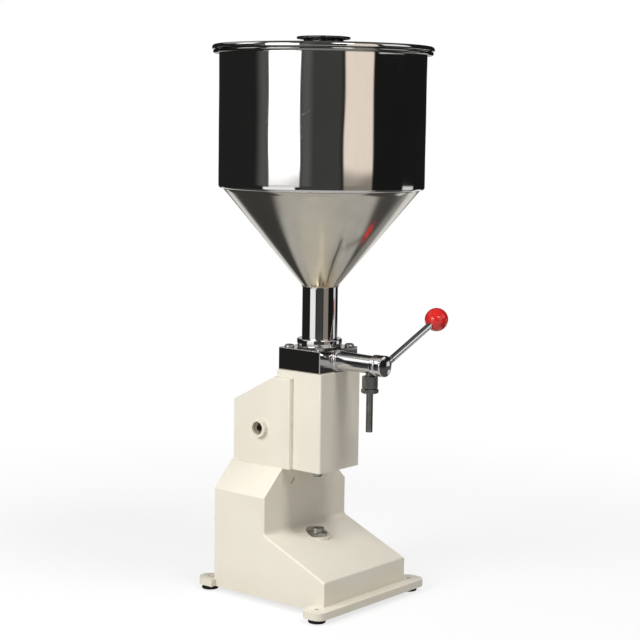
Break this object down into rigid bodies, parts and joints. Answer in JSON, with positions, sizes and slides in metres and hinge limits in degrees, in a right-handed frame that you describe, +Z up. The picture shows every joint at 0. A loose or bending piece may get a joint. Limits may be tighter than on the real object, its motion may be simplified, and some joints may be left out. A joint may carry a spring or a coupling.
{
  "type": "liquid filling machine",
  "caption": "Hand-worked piston filler: conical hopper over a rotary valve block with ball lever and nozzle, on a hollow cast stand with a sloping foot.",
  "frame": {"origin": "on the floor, at the bottom of the rubber feet, below the common axis of hopper, valve block and metering cylinder", "axes": "+Z up along the hopper axis; the front, with valve tube, lever and nozzle, looks along -Y; +X to the right of someone facing the front"},
  "size_m": [0.32, 0.32, 0.8238],
  "materials": {
    "cream_paint": "cream enamel on a casting",
    "black_rubber": "moulded",
    "seal_rubber": "smooth",
    "screw_steel": "plated",
    "polished_stainless": "mirror polished",
    "satin_stainless": "satin",
    "bright_chrome": "bright",
    "turned_steel": "turned",
    "bare_cast_iron": "as cast",
    "bearing_bronze": "turned",
    "red_ball": "moulded, glossy",
    "black_knob": "moulded"
  },
  "bodies": {
    "frame": {"base_casting": "cream_paint", "rubber_feet": "black_rubber", "head_casting": "cream_paint", "rear_cover": "cream_paint", "cover_screws": "screw_steel", "casting_bolts": "screw_steel", "block_screws": "screw_steel", "valve_block": "polished_stainless", "valve_tube": "bright_chrome", "tube_ring": "bright_chrome", "gland_nut": "bright_chrome", "stop_pin": "screw_steel", "nozzle_adaptor": "turned_steel", "nozzle_nut": "turned_steel", "nozzle_tube": "bright_chrome", "metering_cylinder": "satin_stainless", "cylinder_seal": "seal_rubber", "shaft_bushes": "bearing_bronze", "guide_bush": "bearing_bronze", "hopper_gasket": "seal_rubber", "hopper_collar": "polished_stainless", "hopper_neck": "polished_stainless", "hopper_cone": "satin_stainless", "hopper_barrel": "polished_stainless", "hopper_rim": "polished_stainless", "post_socket": "bright_chrome", "socket_nut": "screw_steel"},
    "valve": {"valve_spindle": "satin_stainless", "spindle_seals": "seal_rubber", "lever_hub": "bright_chrome", "lever_rod": "bright_chrome", "ball_knob": "red_ball"},
    "press": {"rocker_arm": "bare_cast_iron", "arm_pin": "screw_steel", "press_shaft": "turned_steel"},
    "plunger": {"piston": "satin_stainless", "piston_rings": "seal_rubber", "piston_rod": "turned_steel", "rod_nut": "screw_steel", "crosshead": "turned_steel", "crosshead_pin": "screw_steel"},
    "hopper_lid": {"lid": "polished_stainless", "lid_knob": "black_knob", "knob_screw": "screw_steel"}
  },
  "joints": [
    {"name": "valve_lever_turn", "type": "hinge", "parent": "frame", "child": "valve", "pos_m": [0, -0.1129, 0.3565], "axis": [0, -1, 0], "range_deg": [0, 90]},
    {"name": "press_shaft_turn", "type": "hinge", "parent": "frame", "child": "press", "pos_m": [0, 0.068, 0.25], "axis": [1, 0, 0], "range_deg": [0, 29.65]},
    {"name": "piston_slide", "type": "slide", "parent": "frame", "child": "plunger", "axis": [0, 0, 1], "range_m": [-0.0362, 0]},
    {"name": "lid_lift", "type": "slide", "parent": "frame", "child": "hopper_lid", "axis": [0, 0, 1], "range_m": [0, 0.06]}
  ],
  "couplings": [
    {"joint": "piston_slide", "follows": "press_shaft_turn", "m_per_rad": -0.06956}
  ]
}
